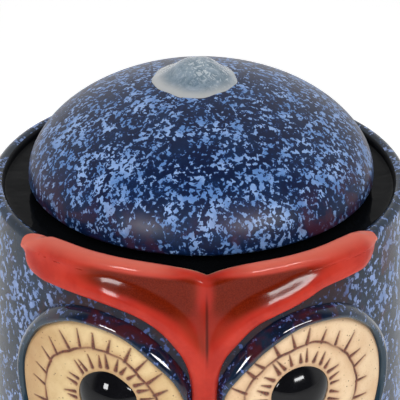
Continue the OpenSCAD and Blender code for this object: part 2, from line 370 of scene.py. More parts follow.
def glaze_red():
    """Red glaze of the brow: bright on the rolls, brown where it pools thin in the channel."""
    mat = Shader("glaze_red", Coat_Weight=0.12, Coat_Roughness=0.06, Specular_IOR_Level=0.06)
    grain = mat.noise(1400, 2.0, 0.6)
    cloud = mat.noise(55, 4.0, 0.6, 0.3)
    bright = mat.fade(cloud, 0.3, 0.7, (168, 44, 34), (192, 58, 44))
    salmon = mat.mix(mat.mark("top"), bright, (208, 104, 88))
    brown = mat.fade(grain, 0.35, 0.65, (94, 20, 4), (110, 30, 8))
    pool = mat.plus(mat.mark("pool"), mat.step(cloud, 0.25, 0.75, -0.14, 0.14))
    rusty = mat.fade(cloud, 0.35, 0.65, brown, (132, 42, 24))
    deep = mat.fade(pool, 0.55, 1.0, rusty, brown)
    colour = mat.fade(pool, 0.12, 0.75, salmon, deep)
    # Painted shade: a dark line down the right side of the nose ridge.
    colour = mat.mix(mat.mark("painted_crease_shade"), colour, (52, 10, 2))
    colour = mat.mix(mat.mark("bare"), colour, (214, 198, 168))
    mat.to("Base Color", colour)
    mat.rough(mat.noise(140, 3.0), 0.12, 0.22)
    mat.bump(mat.noise(130, 2.0), 0.12, 0.0006)
    return mat.material


def bare_clay():
    """Unglazed cream clay with brown oxide rubbed into the carving."""
    mat = Shader("bare_clay", Roughness=0.62)
    cloud = mat.noise(34, 4.0, 0.55)
    cream = mat.fade(cloud, 0.32, 0.68, (192, 156, 102), (222, 196, 142))
    # Painted light: the right eye's disc, turned towards the lamps, is drawn paler than the left.
    pale = mat.fade(cloud, 0.32, 0.68, (226, 190, 150), (240, 212, 176))
    cream = mat.mix(mat.mark("painted_light"), cream, pale)
    fine = mat.noise(900, 2.0, 0.6)
    cream = mat.mix(mat.step(fine, 0.55, 0.8, 0.0, 0.35), cream, (180, 128, 76))
    pits = mat.step(mat.cells(420), 0.06, 0.24, 1.0, 0.0)
    some = mat.step(mat.noise(150, 2.0), 0.5, 0.58)
    cream = mat.mix(mat.times(pits, some), cream, (96, 54, 30))
    # Brown: real oxide round the carving, plus painted shade at the disc's edge under the ring and
    # on the left disc's outer side.
    stain_and_shade = mat.times(mat.mark("stain_and_shade"), mat.step(cloud, 0.2, 0.7, 0.5, 1.0))
    cream = mat.mix(stain_and_shade, cream, (158, 98, 52))
    groove = mat.step(mat.mark("groove"), 0.08, 0.75)
    line = mat.fade(fine, 0.4, 0.6, (78, 34, 20), (118, 60, 36))
    mat.to("Base Color", mat.mix(groove, cream, line))
    mat.bump(fine, 0.25, 0.0003)
    return mat.material


def glaze_ring():
    """Dark blue rolled rings: thick glossy glaze with rust and a few pale specks."""
    mat = Shader("glaze_ring", Coat_Weight=0.3, Coat_Roughness=0.03, Specular_IOR_Level=0.25)
    colour, specks, _ = speckled(
        mat, 0.8, ((14, 24, 44), (22, 38, 58)), (30, 48, 96),
        ((74, 98, 160), (112, 134, 190)), 0.565)
    rust = mat.step(mat.noise(44, 4.0, 0.6, 0.6), 0.47, 0.6)
    colour = mat.mix(mat.times(rust, 0.75), colour, (70, 24, 26))
    plain_side = mat.mix(specks, (34, 50, 66), (116, 138, 184))
    colour = mat.mix(mat.mark("outward"), colour, plain_side)
    colour = mat.mix(mat.mark("inner"), colour, (30, 52, 66))
    mat.to("Base Color", colour)
    mat.rough(mat.noise(120, 3.0), 0.05, 0.12)
    mat.bump(mat.noise(140, 2.0), 0.15, 0.0008)
    return mat.material


def glaze_black():
    mat = Shader("glaze_black", Coat_Weight=0.1, Coat_Roughness=0.03, Specular_IOR_Level=0.16)
    cloud = mat.noise(120, 3.0)
    mat.to("Base Color", mat.mix(cloud, (8, 8, 10), (20, 20, 24)))
    mat.rough(cloud, 0.05, 0.12)
    return mat.material


def glaze_inside():
    """Black liner glaze inside the pot."""
    mat = Shader("glaze_inside", Specular_IOR_Level=0.1)
    cloud = mat.noise(160, 4.0, 0.6)
    mat.to("Base Color", mat.mix(cloud, (6, 7, 9), (20, 21, 26)))
    mat.rough(cloud, 0.3, 0.5)
    return mat.material


def pool_water():
    """Still water, dark over the black liner, drawn as an opaque near-black sheet whose colour is
    partly the liner and partly painted shade of the unlit inside of the pot.
    """
    mat = Shader("pool_water", Specular_IOR_Level=0.05, IOR=1.33)
    depth = mat.noise(60, 3.0)
    # Painted shade: near-black colour standing for the unlit depth under the water.
    mat.to("Base Color", mat.mix(depth, (6, 7, 9), (13, 15, 18)))
    mat.rough(depth, 0.03, 0.08)
    mat.bump(mat.noise(110, 2.0, 0.5, 0.6), 0.2, 0.0012)
    return mat.material


def mound_water():
    """Clear water welling over the crown: its pale blue-grey colour is painted reflection of the
    bright room, clouded a little by fine ripples, with white threads as painted glints on the
    ripples and a pale rim as painted sheen.
    """
    mat = Shader("mound_water", Transmission_Weight=0.3, IOR=1.33, Coat_Weight=0.2)
    cloud = mat.noise(130, 4.0, 0.6, 0.8)
    painted_rim_sheen = mat.mark("painted_rim_sheen")
    colour = mat.fade(cloud, 0.35, 0.7, (122, 144, 160), (160, 178, 192))
    # Painted glints: white threads where the ripples catch the light.
    painted_glints = mat.step(mat.noise(420, 3.0, 0.6, 1.2), 0.52, 0.62)
    colour = mat.mix(mat.times(painted_glints, mat.mark("thread")), colour,
                        (226, 234, 240))
    mat.to("Base Color", mat.mix(painted_rim_sheen, colour, (206, 208, 208)))
    mat.rough(cloud, 0.04, 0.16)
    mat.bump(cloud, 0.35, 0.002)
    return mat.material


def plain(name, low, high, rough, scale=300, bump=0.15, depth=0.0003, **values):
    """Moulded or woven stuff: two shades in soft clouds, with a fine grain."""
    mat = Shader(name, **values)
    grain = mat.noise(scale, 4.0, 0.6)
    mat.to("Base Color", mat.mix(grain, low, high))
    mat.rough(grain, *rough)
    mat.bump(grain, bump, depth)
    return mat.material


BODY_GLAZE = glaze_body()
CROWN_GLAZE = glaze_crown()
RED_GLAZE = glaze_red()
CLAY = bare_clay()
RING_GLAZE = glaze_ring()
BLACK_GLAZE = glaze_black()
LINER = glaze_inside()


# ---- the pot ----

# Carved breast feathers: rows of scallops below the face
ROW_TOP = 140.0
ROW_STEP = 17.0
ROWS = 5
SCALLOP_W = 24.0
SCALLOP_DROP = 11.0
CARVE_DEPTH = 1.3


def breast_carving(turn, z):
    """Depth of the carved scallops, from 0 to 1, at a turn round the pot and a height."""
    across = turn * FACE_R
    cut = np.zeros_like(z)
    for row in range(ROWS):
        shift = 0.5 * (row % 2)
        place = across / SCALLOP_W + shift
        local = (place - np.round(place)) * 2
        line = ROW_TOP - ROW_STEP * row - SCALLOP_DROP * np.sqrt(np.clip(1 - local ** 2, 0, 1))
        half = 58.0 - 7.0 * row
        inside = 1 - smooth(half - 2, half + 2, np.abs(np.round(place) - shift) * SCALLOP_W)
        cut = np.maximum(cut, inside * bell((z - line) / 1.3))
        quill = bell(local * SCALLOP_W / 2 / 0.8)
        quill = quill * smooth(line + 1, line + 4, z) * (1 - smooth(line + 9, line + 12, z))
        cut = np.maximum(cut, 0.6 * inside * quill)
    return cut


def make_pot():
    turns = 560
    outer = [(float(body_r(z)), z) for z in np.linspace(base_low, LIP_Z, 190)]
    lip = [(float(body_r(LIP_Z)) - LIP_R + LIP_R * math.cos(a), LIP_Z + LIP_R * math.sin(a))
           for a in np.linspace(0, math.pi, 15)[1:]]
    inner = [(float(body_r(z)) - WALL, z) for z in np.linspace(LIP_Z, FLOOR_Z + 5, 40)[1:]]
    floor = [(float(body_r(FLOOR_Z)) - WALL - 4, FLOOR_Z), (60, FLOOR_Z), (30, FLOOR_Z)]
    foot = [(50.0, base_low + 5), (FOOT_R - 14, base_low + 5), (FOOT_R - 13, base_low + 1.2),
            (FOOT_R - 11.5, base_low), (FOOT_R - 2, base_low), (FOOT_R - 0.6, base_low + 0.4)]
    outline = [(0.0, base_low + 5)] + foot + outer[1:] + lip + inner + floor + [(0.0, FLOOR_Z)]
    turn = angles(turns)
    turn = np.where(turn > math.pi, turn - 2 * math.pi, turn)
    rows = len(outline)
    z = np.broadcast_to(np.array(outline)[:, 1][:, None], (rows, turns))
    r = np.broadcast_to(np.array(outline)[:, 0][:, None], (rows, turns))
    outside = np.zeros((rows, turns))
    outside[len(foot) + 1:len(foot) + len(outer) + 6] = 1.0
    around = np.broadcast_to(turn, (rows, turns))
    cut = breast_carving(around, z) * outside
    points = at_turn(r, around, z)
    swell = wobble(points[:, ::4], 60.0, 0.5, 1)
    swell = np.repeat(swell, 4, axis=1)[:, :turns]
    swell = (swell + np.roll(swell, 1, 1) + np.roll(swell, 2, 1) + np.roll(swell, 3, 1)) / 4
    r = r + outside * (swell * smooth(base_low, base_low + 40, z) * (1 - smooth(262, 292, z)))
    r = r - CARVE_DEPTH * cut
    points = dip(at_turn(r, around, z))
    face = (1 - smooth(math.radians(50), math.radians(70), np.abs(around))) * smooth(150, 180, z)
    shade = (1 - smooth(64, 92, np.abs(points[..., 0]))) * smooth(150, 180, z)
    shade = 0.92 * (shade * (points[..., 1] < 0)) * (1 - smooth(288, 294, z))
    # The carving's depth also marks where painted shade darkens the grooves.
    made = piece("pot", points, grid_faces(rows, turns, wrap=True), BODY_GLAZE,
                 marks={"painted_groove_shade": cut, "face": face, "shade": shade})
    made.data.materials.append(LINER)
    lined = len(foot) + len(outer) + 9    # rows of faces up to the liner's upper edge
    index = np.zeros(len(made.data.polygons), np.int32)
    index[lined * turns:] = 1
    made.data.polygons.foreach_set("material_index", index)
    merge(made, 0.02)
    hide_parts("pot_wall_left", "pot_wall_right", "pot_base")
    return made


make_pot()


# ---- the brow ----

# Across each half of the brow and nose: a point on the lower edge and its
# partner on the nose's centre line or the rim's inner edge, as width seen from
# the front and distance up the wall
RIM_IN = LIP_Z + 8.6
NOSE_SPANS = [
    (6.6, NOSE_Z, 0, NOSE_Z), (6.5, 205, 0, 205), (6.5, 224, 0, 226), (6.9, 235, 0, 241),
    (8.2, 244, 0, 255), (11.5, 253, 0, 269)]
BROW_SPANS = {
    -1: NOSE_SPANS + [
        (17.8, 262.2, 0, 284), (24, 268.5, 0, 297), (30, 272.5, 0, RIM_IN), (38, 276, 14, RIM_IN),
        (50, 278.6, 34, RIM_IN), (62, 279.7, 54, RIM_IN), (74, 280.3, 72, RIM_IN),
        (84, 280.6, 84, RIM_IN - 1), (90.5, 282, 91, RIM_IN - 3.5), (94, 286, 94.2, RIM_IN - 6),
        (95, 291, 95, 295)],
    1: NOSE_SPANS + [
        (17.8, 261, 0, 284), (24, 267.5, 0, 297), (30, 271.5, 0, RIM_IN), (38, 274.5, 14, RIM_IN),
        (46, 277, 28, RIM_IN), (54, 280, 42, RIM_IN), (62, 283, 54, RIM_IN),
        (74, 284.2, 72, RIM_IN), (83, 284.8, 83, RIM_IN - 1), (88.5, 287.5, 89, RIM_IN - 3.5),
        (91.5, 291.5, 91.7, RIM_IN - 5), (92.6, 295, 92.6, 297)]}
BROW_STEPS = 420
BROW_ACROSS = 84


def through(points, count):
    """Smooth curve (Catmull-Rom) through rows of numbers, resampled to count rows."""
    p = np.array(points, float)
    p = np.vstack([2 * p[0] - p[1], p, 2 * p[-1] - p[-2]])
    out = []
    for t in np.linspace(0, len(points) - 1 - 1e-9, count):
        i = int(t)
        f = t - i
        a, b, c, d = p[i:i + 4]
        out.append(0.5 * (2 * b + (c - a) * f + (2 * a - 5 * b + 4 * c - d) * f ** 2
                          + (3 * b - a - 3 * c + d) * f ** 3))
    return np.array(out)


def bulge(x):
    """Rounded hump from -1 to 1."""
    return np.sqrt(np.clip(1 - np.asarray(x) ** 2, 0, 1))


def top_line(x):
    """Distance up the wall and over the lip of the brow's top edge."""
    return RIM_IN - 3.5 * smooth(82, 91, x) - 3.0 * smooth(90, 95, x)


def brow_rise(side, x, along, edge):
    """Height of the brow over the pot, and how deep in its valleys each point is."""
    outer = smooth(45, 75, x)
    low_high = 6.0 - 0.9 * outer
    low_roll = low_high * np.where(edge < 5.5, bulge((edge - 5.5) / 5.5),
                                   bell((edge - 5.5) / 10.0))
    notch = np.abs(side * x - NOTCH_X)
    top_high = 1.2 + 3.2 * (1 - np.exp(-notch / 11.0)) - 0.9 * smooth(74, 88, x)
    from_top = top_line(x) - along
    top_roll = top_high * np.where(from_top < 3, bulge((from_top - 3) / 3),
                                   bell((from_top - 3) / 4.5))
    ridge = 6.4 * np.exp(-(np.sqrt(x ** 2 + 0.16) - 0.4) / 5.0)
    ridge = ridge * (0.35 + 0.65 * smooth(226, 244, along)) * (1 - smooth(256, 304, along))
    floor = (1.6 + 3.0 * outer) * smooth(0, 2.5, edge) * smooth(0, 3, from_top)
    power = 4.0
    rise = (low_roll ** power + top_roll ** power + ridge ** power + floor ** power) ** (1 / power)
    rise = rise * smooth(-0.4, 1.4, edge) ** 0.5 * (1 - 0.4 * smooth(80, 94, x))
    pool = smooth(6.0, 14.0, edge) * (1 - smooth(1.0, 3.4, top_roll)) * (1 - smooth(44, 76, x))
    pool = pool * (0.45 + 0.55 * (1 - smooth(16, 36, from_top))) * smooth(240, 262, along)
    pool = pool * (1 - 0.7 * bell(x / 6) * smooth(268, 290, along))
    return rise, pool


def brow_half(side):
    """Points of one half of the brow and nose, with its marks."""
    curve = through(BROW_SPANS[side], BROW_STEPS)
    edge_line = curve[:, :2]
    v = np.linspace(0, 1, BROW_ACROSS)
    x = np.maximum(curve[:, 2][:, None] * (1 - v) + curve[:, 0][:, None] * v, 0)
    along = curve[:, 3][:, None] * (1 - v) + curve[:, 1][:, None] * v
    flat = np.stack([x.ravel(), along.ravel()], -1)
    edge = np.concatenate([
        np.linalg.norm(flat[start:start + 4000, None] - edge_line[None], axis=2).min(1)
        for start in range(0, len(flat), 4000)]).reshape(x.shape)
    rise, pool = brow_rise(side, x, along, edge)
    turn = np.arcsin(np.clip(side * x / FACE_R, -1, 1))
    rough = wobble(on_body(turn, along, rise)[::3, ::3], 26.0, 0.55, 4 + side)
    soft = np.kron(rough, np.ones((3, 3)))[:x.shape[0], :x.shape[1]]
    for _ in range(3):
        soft = (soft + np.roll(soft, 1, 0) + np.roll(soft, 1, 1) + np.roll(soft, -1, 0)) / 4
    soft = soft * smooth(1.0, 4.0, edge) * smooth(0.0, 5.0, x)
    top = smooth(8, 3, top_line(x) - along) * smooth(8, 30, x)
    inner = bell((along - (RIM_IN - 1.2)) / 0.9) * (1 - smooth(6, 26, x))
    flecks = bell((edge - 0.8) / 0.8) * smooth(82, 90, x) * 0.7
    # Painted shade beside the nose ridge, on its right side only.
    painted_crease_shade = bell((side * x - 1.3) / 0.7) * smooth(248, 260, along)
    painted_crease_shade = painted_crease_shade * (1 - smooth(280, 298, along))
    return (dip(on_body(turn, along, rise - 0.15 + soft)), grid_faces(*x.shape, flip=(side > 0)),
            {"pool": pool, "top": top, "bare": np.maximum(inner, flecks), "painted_crease_shade": 0.8 * painted_crease_shade})


def make_brow():
    halves = [brow_half(side) for side in (-1, 1)]
    count = halves[0][0].size // 3
    points = np.vstack([half[0].reshape(-1, 3) for half in halves])
    faces = np.vstack([halves[0][1], halves[1][1] + count])
    marks = {mark: np.concatenate([half[2][mark].ravel() for half in halves])
             for mark in halves[0][2]}
    made = piece("brow_glazed", points, faces, RED_GLAZE,
                 marks=marks, join=0.03)
    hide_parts("brow")
    return made


make_brow()


# ---- the eyes ----

def eye_point(side, across, up, rise):
    """Point of an eye patch: across and up from the disc's centre, away from the nose is +."""
    z = EYE_Z + up
    reach = body_r(z) + DISC_T
    turn = side * (EYE_TURN + np.arcsin(np.clip(across / reach, -1, 1)))
    return on_body(turn, z, rise)


def disc_edge(a):
    """Radius of an eye disc at an angle round it: fuller on the side towards the nose."""
    return EYE_R + 0.6 + 3.8 * smooth(0.72, 1.0, -np.cos(a))


def stroke(across, up, start, end, width):
    """Tapered carved stroke between two points, as depth from 0 to 1."""
    sx, sy = start
    dx, dy = end[0] - sx, end[1] - sy
    size = dx * dx + dy * dy
    t = np.clip(((across - sx) * dx + (up - sy) * dy) / size, 0, 1)
    gap = np.hypot(across - sx - t * dx, up - sy - t * dy)
    return bell(gap / (width * (1 - 0.4 * t))) * (1 - 0.45 * t)


def eye_carving(side, across, up):
    """Carved ring and rays of an eye, and the brown oxide staining round them."""
    rng = np.random.default_rng(5 + side)
    shift = IRIS_SHIFT[side]
    ax, ay = across - shift[0], up - shift[1]
    angle = np.arctan2(ay, ax)
    wave = 0.6 * np.sin(5 * angle + side) + 0.35 * np.sin(9 * angle + 2) + 0.15 * np.sin(23 * angle)
    gap = np.hypot(ax, ay) - IRIS_R - wave
    thin = 0.72 + 0.28 * np.sin(3 * angle + 2 * side) * np.sin(7 * angle + 1)
    cut = thin * bell(gap / 0.9)
    stain_and_shade = 0.55 * bell(gap / 2.8)
    for i in range(25):
        a = 2 * math.pi * (i + rng.uniform(-0.16, 0.16)) / 25
        start = IRIS_R + 0.6
        end = IRIS_R + rng.uniform(7.0, 11.0)
        lean = rng.uniform(-0.05, 0.05)
        ends = [(shift[0] + r * math.cos(b), shift[1] + r * math.sin(b))
                for r, b in ((start, a), (end, a + lean))]
        cut = np.maximum(cut, stroke(across, up, *ends, rng.uniform(0.95, 1.35)))
        stain_and_shade = np.maximum(stain_and_shade, 0.6 * stroke(across, up, *ends, 3.0))
    pupil_x = pupil_across(side)
    pupil_y = PUPIL_Z[side] - EYE_Z
    for i in range(28):
        a = 2 * math.pi * (i + rng.uniform(-0.16, 0.16)) / 28
        lean = rng.uniform(-0.06, 0.06)
        ends = [(pupil_x + r * math.cos(b), pupil_y + r * math.sin(b))
                for r, b in ((PUPIL_R + 2.0, a), (PUPIL_R + rng.uniform(6.5, 10.0), a + lean))]
        cut = np.maximum(cut, stroke(across, up, *ends, rng.uniform(0.95, 1.35)))
        stain_and_shade = np.maximum(stain_and_shade, 0.6 * stroke(across, up, *ends, 2.6))
    near = np.hypot(across - pupil_x, up - pupil_y) - PUPIL_R
    stain_and_shade = np.maximum(stain_and_shade, 0.5 * bell(near / 2.0))
    return cut, stain_and_shade


def pupil_across(side):
    """How far the pupil's centre is from the disc's centre, across the eye."""
    return float(body_r(PUPIL_Z[side]) + DISC_T) * math.sin(PUPIL_TURN - EYE_TURN)


def make_eye(side, label):
    rings, turns = 168, 640
    share, a = polar(rings, turns)
    rim = disc_edge(a)
    r = rim * share
    across, up = r * np.cos(a), r * np.sin(a)
    cut, stain_and_shade = eye_carving(side, across, up)
    edge = smooth(-4.1, 0, r - rim)
    dish = 0.5 * np.cos(r / rim * math.pi / 2)
    rise = DISC_T - 0.2 + dish - 1.6 * edge - 0.85 * cut
    rise = rise + 0.12 * np.sin(across / 3.1 + side) * np.sin(up / 4.3)
    # Painted shade: browner at the disc's edge, tucked under the ring, and on the left disc's outer
    # side, turned away from the light.
    stain_and_shade = np.maximum(stain_and_shade, 0.7 * smooth(-6, 0, r - rim))
    stain_and_shade = np.maximum(stain_and_shade, 0.5 * smooth(15, 44, across) * (side < 0))
    # Painted light: the right disc's clay is drawn paler, as if lit more strongly than the left.
    disc = piece("eye_clay_" + label, eye_point(side, across, up, rise),
                 grid_faces(rings, turns, wrap=True, flip=(side < 0)), CLAY,
                 marks={"groove": cut, "stain_and_shade": stain_and_shade,
                        "painted_light": np.full(cut.shape, 0.5 + 0.35 * side)}, join=0.01)
    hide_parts("eye_disc_" + label)

    # The rolled ring: narrow where the nose crowds it
    steps, turns = 40, 420
    v, a = polar(steps, turns)
    reach = float(body_r(EYE_Z) + DISC_T)
    crowd = reach * math.sin(EYE_TURN - NOSE_HALF_TURN)
    outer = np.where(np.cos(a) < -0.05, np.minimum(RING_OUT, crowd / np.maximum(-np.cos(a), 0.05)),
                     RING_OUT)
    outward = smooth(0.0, 0.8, np.cos(a))
    outer = outer + 0.5 * np.sin(3 * a + side) + 0.3 * np.sin(7 * a) - 2.0 * outward
    inner = disc_edge(a) - 1.9 + 0.35 * np.sin(4 * a + 1) + 0.25 * np.sin(11 * a + side)
    outer = np.maximum(outer, inner + 2.6)
    r = inner + (outer - inner) * v
    tall = np.minimum(5.4, (outer - inner) * 0.75) - 1.2 * outward
    rise = tall * np.sin(np.clip(v, 0, 1) ** 0.72 * math.pi) ** 0.62 + 0.4 * (1 - v) * 4
    rise = rise + 0.25 * np.sin(5 * a + 2) * np.sin(v * math.pi) - 0.2 * v
    across, up = r * np.cos(a), r * np.sin(a)
    inside = (1 - smooth(0.1, 0.42, v)) * np.ones_like(a)
    ring = piece("eye_roll_" + label, eye_point(side, across, up, rise),
                 grid_faces(steps, turns, wrap=True, flip=(side < 0)), RING_GLAZE,
                 marks={"inner": inside, "outward": outward + 0 * v})
    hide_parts("eye_ring_" + label)

    # The pupil: a glossy black cap, a little uneven at its edge
    rings, turns = 40, 128
    r, a = polar(rings, turns)
    wide = PUPIL_R * (1 + 0.012 * np.sin(3 * a + side) + 0.008 * np.sin(5 * a))
    ball = (PUPIL_R ** 2 + PUPIL_RISE ** 2) / (2 * PUPIL_RISE)
    rise = DISC_T + PUPIL_RISE - ball + np.sqrt(ball ** 2 - (r * PUPIL_R) ** 2)
    rise = rise - 0.8 * smooth(0.94, 1, r)
    across = pupil_across(side) + wide * r * np.cos(a)
    up = PUPIL_Z[side] - EYE_Z + wide * r * np.sin(a)
    cap = piece("pupil_cap_" + label, eye_point(side, across, up, rise * np.ones_like(a)),
                grid_faces(rings, turns, wrap=True, flip=(side < 0)), BLACK_GLAZE,
                join=0.01)
    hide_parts("pupil_" + label)


make_eye(-1, "left")
make_eye(1, "right")


# ---- the beak, wings, tail and feet ----

def make_beak():
    beak_low, beak_high = (np.array(corner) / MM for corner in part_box("beak"))
    tall = beak_high[2] - beak_low[2]
    t = np.linspace(0, 1, 90)[:, None]
    a = np.linspace(-math.pi / 2, math.pi / 2, 61)[None, :]
    half = 9.2 * (1 - t ** 2.1) ** 0.6 * (1 - 0.35 * (1 - t) ** 6)
    reach = 3.2 + 8.0 * np.sin(math.pi * np.clip(t * 0.8 + 0.12, 0, 1)) ** 0.9
    reach = reach * (1 - t ** 6) ** 0.5
    crest = np.cos(a) ** 0.85 + 0.1 * bell(a / 0.2)
    across = half * np.sin(a)
    z = beak_high[2] + 3 - (tall + 1) * t + 0 * a
    points = on_body(np.arcsin(np.clip(across / FACE_R, -1, 1)), z, reach * crest - 0.3)
    made = piece("beak_glazed", points, grid_faces(90, 61, flip=True), RED_GLAZE,
                 join=0.01)
    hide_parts("beak")


make_beak()

# A wing's outline is where two circles overlap, seen from its side: middle
# (towards the back, height) and radius of each
WING_FRONT = ((58.0, 138.0), 104.0)
WING_BACK = ((-48.0, 122.0), 92.0)
WING_RISE = 5.6


def wing_axis():
    """The two tips of a wing's outline."""
    (ax, az), ar = WING_FRONT
    (bx, bz), br = WING_BACK
    gap = math.hypot(bx - ax, bz - az)
    along = (ar ** 2 - br ** 2 + gap ** 2) / (2 * gap)
    half = math.sqrt(ar ** 2 - along ** 2)
    ux, uz = (bx - ax) / gap, (bz - az) / gap
    mx, mz = ax + ux * along, az + uz * along
    return (mx + uz * half, mz - ux * half), (mx - uz * half, mz + ux * half)


def to_circle(px, pz, dx, dz, circle):
    """Distance from a point to a circle's edge along a direction."""
    (cx, cz), r = circle
    b = (px - cx) * dx + (pz - cz) * dz
    return -b + np.sqrt(np.maximum(b ** 2 - ((px - cx) ** 2 + (pz - cz) ** 2 - r ** 2), 0))


def feathers(along, across, length, width, row):
    """Overlapping rows of feathers: step height from 0 to 1, and the grooves round them."""
    best = np.zeros(np.broadcast(along, across).shape)
    groove = np.zeros_like(best)
    rows = int(length / row) + 2
    for i in range(rows):
        shift = 0.5 * (i % 2)
        place = across / width + shift
        local = (place - np.round(place)) * 2
        tip = row * (i + 1) - 0.55 * width * (1 - np.sqrt(np.clip(1 - local ** 2, 0, 1)))
        inside = (along < tip) & (along > tip - row * 1.6)
        best = np.where(inside, np.clip((along - (tip - row * 1.3)) / (row * 1.3), 0, 1), best)
        groove = np.maximum(groove * (~inside), bell((along - tip) / 0.8))
        quill = bell(local * width / 2 / 0.55) * inside
        groove = np.maximum(groove, 0.45 * quill)
    return best, groove


def make_wing(side, label):
    low, high = sorted(wing_axis(), key=lambda p: p[1])
    length = math.hypot(high[0] - low[0], high[1] - low[1])
    ex, ez = (low[0] - high[0]) / length, (low[1] - high[1]) / length
    nx, nz = -ez, ex
    rows, cols = 260, 120
    t = 0.5 - 0.5 * np.cos(np.linspace(0, math.pi, rows))[:, None]
    px, pz = high[0] + ex * length * t, high[1] + ez * length * t
    back = to_circle(px, pz, nx, nz, WING_BACK)
    front = to_circle(px, pz, -nx, -nz, WING_FRONT)
    w = np.sin(np.linspace(-math.pi / 2, math.pi / 2, cols))[None, :]
    across = np.where(w > 0, w * back, w * front)
    x, z = px + nx * across, pz + nz * across
    bend = 0.10 * (t * length - 60)
    step, groove = feathers(t * length - 42, across + bend, length - 42, 17.0, 19.0)
    lower = smooth(38, 48, t * length + 0 * across)
    edge = np.minimum(1 - np.abs(w), 1) * np.where(w > 0, back, front)
    tip_gap = np.minimum(t, 1 - t) * length
    bank = np.sqrt(np.clip(np.minimum(edge, tip_gap) / 7.0, 0, 1))
    bank = bank * np.sqrt(2 - np.clip(bank, 0, 1) ** 2)
    rise = WING_RISE * (0.80 + 0.2 * lower * step) * np.clip(bank, 0, 1)
    rise = rise - 0.9 * groove * lower * bank
    rise = np.maximum(rise, 0.0) - 0.25
    reach = body_r(z) + 4
    turn = side * (math.pi / 2 + np.arcsin(np.clip(x / reach, -1, 1)))
    # The feather grooves also mark where painted shade darkens them.
    made = piece("wing_glazed_" + label, on_body(turn, z, rise),
                 grid_faces(rows, cols, flip=(side > 0)), BODY_GLAZE,
                 marks={"painted_groove_shade": groove * lower * bank}, join=0.01)
    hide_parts("wing_" + label)


make_wing(-1, "left")
make_wing(1, "right")

TAIL_HALF = 26.0
TAIL_TOP = 170.0
TAIL_ROUND = 90.0


def make_tail():
    rows, cols = 200, 140
    z = TAIL_TOP - (TAIL_TOP - TAIL_ROUND + TAIL_HALF) * (
        0.5 - 0.5 * np.cos(np.linspace(0, math.pi, rows))[:, None])
    half = np.sqrt(np.clip(TAIL_HALF ** 2 - np.minimum(z - TAIL_ROUND, 0) ** 2, 0, None))
    half = half * (1 - 0.12 * smooth(TAIL_TOP - 30, TAIL_TOP, z))
    w = np.sin(np.linspace(-math.pi / 2, math.pi / 2, cols))[None, :]
    across = half * w
    edge = np.minimum(half - np.abs(across), TAIL_TOP - z)
    bank = np.clip(edge / 6.0, 0, 1)
    bank = np.sqrt(bank * (2 - bank))
    vanes = 5
    place = (across / (2 * TAIL_HALF) + 0.5) * vanes
    local = np.abs(place - np.floor(place) - 0.5) * 2
    groove = bell((1 - local) * TAIL_HALF / vanes / 0.8)
    quill = 0.5 * bell(local * TAIL_HALF / vanes / 0.6)
    barbs = 0.22 * (np.sin((z * 1.9 - np.abs(local) * 6) * 1.0) > 0.75)
    cut = np.maximum(np.maximum(groove, quill), barbs) * smooth(0.3, 0.9, bank)
    rise = 6.2 * bank * (0.86 + 0.14 * np.sqrt(1 - local ** 2)) - 0.9 * cut
    rise = np.maximum(rise, 0) - 0.25
    turn = math.pi + np.arcsin(across / (body_r(z) + 4))
    # The tail's grooves also mark where painted shade darkens them.
    made = piece("tail_glazed", on_body(turn, z, rise), grid_faces(rows, cols, flip=True),
                 BODY_GLAZE, marks={"painted_groove_shade": cut}, join=0.01)
    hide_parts("tail")


make_tail()


def tube(path, radii, sides=28, flat=1.0):
    """Points and faces of a closed tube along a path, its ends drawn to a point."""
    path = np.asarray(path, float)
    ahead = np.gradient(path, axis=0)
    ahead /= np.linalg.norm(ahead, axis=1)[:, None]
    across = np.cross(ahead, (0, 0, 1))
    across /= np.linalg.norm(across, axis=1)[:, None]
    up = np.cross(across, ahead)
    a = angles(sides)
    cos, sin = np.cos(a)[None, :, None], np.sin(a)[None, :, None]
    ring = cos * across[:, None] + flat * sin * up[:, None]
    radii = np.array(radii, float)
    radii[[0, -1]] = 0
    points = path[:, None] + radii[:, None, None] * ring
    return points, grid_faces(len(path), sides, wrap=True)


def make_foot(side, label):
    """Three knuckled toes with claws, run together into one form."""
    points, faces, count = [], [], 0
    heading = math.radians(20) * side
    for toe in (-1, 0, 1):
        lean = heading + math.radians(16) * toe
        start = np.array([math.sin(heading) * 84 + math.cos(heading) * toe * 5,
                          -math.cos(heading) * 84 + math.sin(heading) * toe * 5, 11.0])
        t = np.linspace(0, 1, 60)
        reach = (-6 + 39.5 * t)[:, None] * np.array([math.sin(lean), -math.cos(lean), 0])
        path = start + reach
        path[:, 2] += -2.6 * t ** 3 + 0.6 * np.sin(t * 7)
        radius = 7.7 - 0.9 * t + 0.7 * np.cos(t * 4 * math.pi) * smooth(0.2, 0.5, t)
        radius = radius * np.sqrt(np.clip(1 - smooth(0.8, 1.0, t) ** 2, 0.0004, 1))
        radius = radius * np.sqrt(np.clip(smooth(-0.05, 0.12, t), 0.0004, 1))
        for way, size, flat in ((path, radius, 0.95), (claw(path, lean), claw_size(), 1.15)):
            p, f = tube(way, size, flat=flat)
            points.append(p.reshape(-1, 3))
            faces.append(f + count)
            count += p.shape[0] * p.shape[1]
    made = piece("foot_glazed_" + label, np.vstack(points), np.vstack(faces), RED_GLAZE,
                 join=0.01)
    remesh = made.modifiers.new("join", "REMESH")
    remesh.mode = "VOXEL"
    remesh.voxel_size = 0.0009
    remesh.use_smooth_shade = True
    soften = made.modifiers.new("soften", "CORRECTIVE_SMOOTH")
    soften.iterations = 6
    soften.use_only_smooth = True
    apply_modifiers(made)
    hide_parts("foot_" + label)


